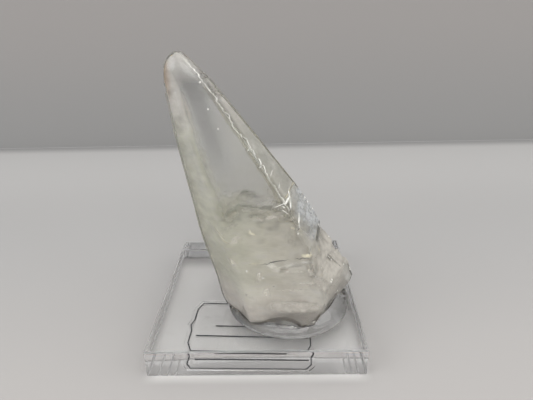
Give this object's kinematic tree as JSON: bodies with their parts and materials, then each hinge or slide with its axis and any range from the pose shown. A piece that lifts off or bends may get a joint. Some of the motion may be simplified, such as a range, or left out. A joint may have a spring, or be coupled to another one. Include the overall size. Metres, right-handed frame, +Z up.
{
  "type": "mounted dogtooth calcite crystal",
  "caption": "Pale translucent dogtooth calcite crystal leaning from a clear glue puddle on a square clear acrylic slab with a framed label beneath.",
  "frame": {"origin": "centre of the slab's underside, on the surface that it stands on", "axes": "+Z up; -Y is the front, where the label reads nearest; +X is to the viewer's right, and the crystal's tip leans toward -X"},
  "size_m": [0.045, 0.045, 0.0622],
  "materials": {
    "calcite": "clear to milky natural crystal faces",
    "glue": "clear set adhesive",
    "acrylic": "polished clear acrylic",
    "label_film": "clear film with a printed dark frame"
  },
  "bodies": {
    "root": {"crystal": "calcite", "glue": "glue", "slab": "acrylic", "label": "label_film"}
  },
  "joints": []
}
